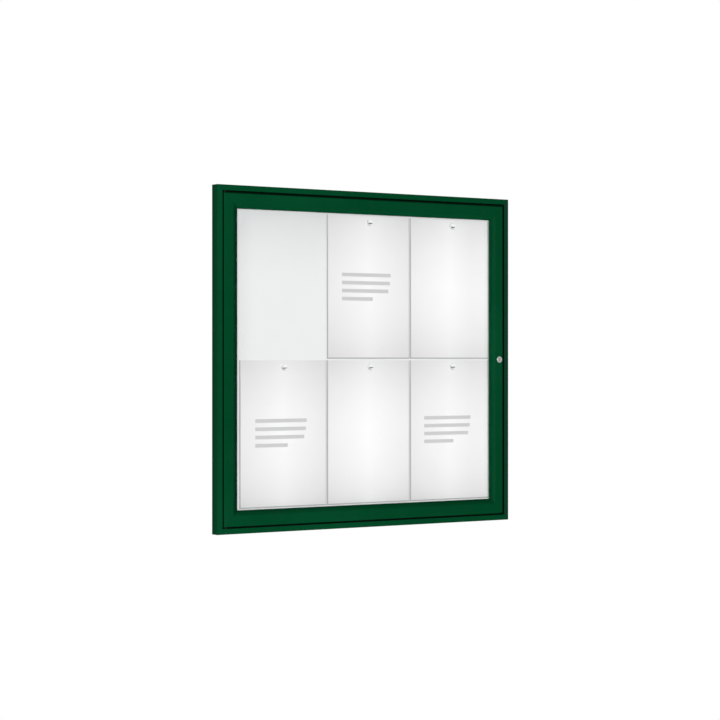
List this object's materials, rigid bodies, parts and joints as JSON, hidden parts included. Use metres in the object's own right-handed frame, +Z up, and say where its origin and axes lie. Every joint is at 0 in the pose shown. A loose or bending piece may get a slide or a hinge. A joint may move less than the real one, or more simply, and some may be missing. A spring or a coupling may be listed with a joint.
{
  "type": "notice board display case",
  "caption": "Flat wall-mounted notice case: a green profile frame with a hinged glazed door, a small lock and a white magnetic panel that holds sheets under round magnets.",
  "frame": {"origin": "centre of the four wall fixing holes, on the wall plane behind the case", "axes": "+X to the right seen from the front, +Y from the front back to the wall, +Z up"},
  "size_m": [0.736, 0.0238, 0.696],
  "materials": {
    "green_coat": "dark green powder coat on aluminium profile, satin",
    "white_panel": "smooth white coat on magnetic steel sheet",
    "sheet_paper": "plain white paper",
    "magnet_white": "white moulded cap",
    "clear_pane": "clear, polished",
    "black_rubber": "matt black",
    "cleat_metal": "as cast or rolled",
    "steel": "zinc plated",
    "lock_metal": "satin nickel plate",
    "nylon": "black moulded nylon"
  },
  "bodies": {
    "case": {"case_top": "green_coat", "case_bottom": "green_coat", "case_left": "green_coat", "case_right": "green_coat", "case_corner_cleats": "cleat_metal", "case_cleat_screws": "steel", "back_panel": "white_panel", "panel_rivets": "cleat_metal", "wall_spacers": "nylon", "hinge_bushes": "nylon", "hinge_washers": "nylon", "seal_top": "black_rubber", "seal_bottom": "black_rubber", "seal_left": "black_rubber", "seal_right": "black_rubber", "door_buffers": "black_rubber", "sheet_top_middle": "sheet_paper", "sheet_top_right": "sheet_paper", "sheet_bottom_left": "sheet_paper", "sheet_bottom_middle": "sheet_paper", "sheet_bottom_right": "sheet_paper", "magnet_top_middle": "magnet_white", "magnet_top_right": "magnet_white", "magnet_bottom_left": "magnet_white", "magnet_bottom_middle": "magnet_white", "magnet_bottom_right": "magnet_white"},
    "door": {"door_top_rail": "green_coat", "door_bottom_rail": "green_coat", "door_hinge_stile": "green_coat", "door_lock_stile": "green_coat", "door_corner_cleats": "cleat_metal", "door_cleat_screws": "steel", "pivot_pins": "steel", "glass_pane": "clear_pane", "glazing_gasket": "black_rubber", "bead_top": "green_coat", "bead_bottom": "green_coat", "bead_left": "green_coat", "bead_right": "green_coat", "lock_body": "lock_metal", "lock_nut": "steel", "lock_cover": "cleat_metal", "lock_cover_screws": "steel"},
    "lock": {"lock_plug": "lock_metal", "lock_cam": "steel", "cam_screw": "steel"}
  },
  "joints": [
    {"name": "door_swing", "type": "hinge", "parent": "case", "child": "door", "pos_m": [-0.3485, -0.017, 0], "axis": [0, 0, -1], "range_deg": [0, 110]},
    {"name": "lock_turn", "type": "hinge", "parent": "door", "child": "lock", "pos_m": [0.3427, -0.022, 0], "axis": [0, -1, 0], "range_deg": [0, 90]}
  ]
}
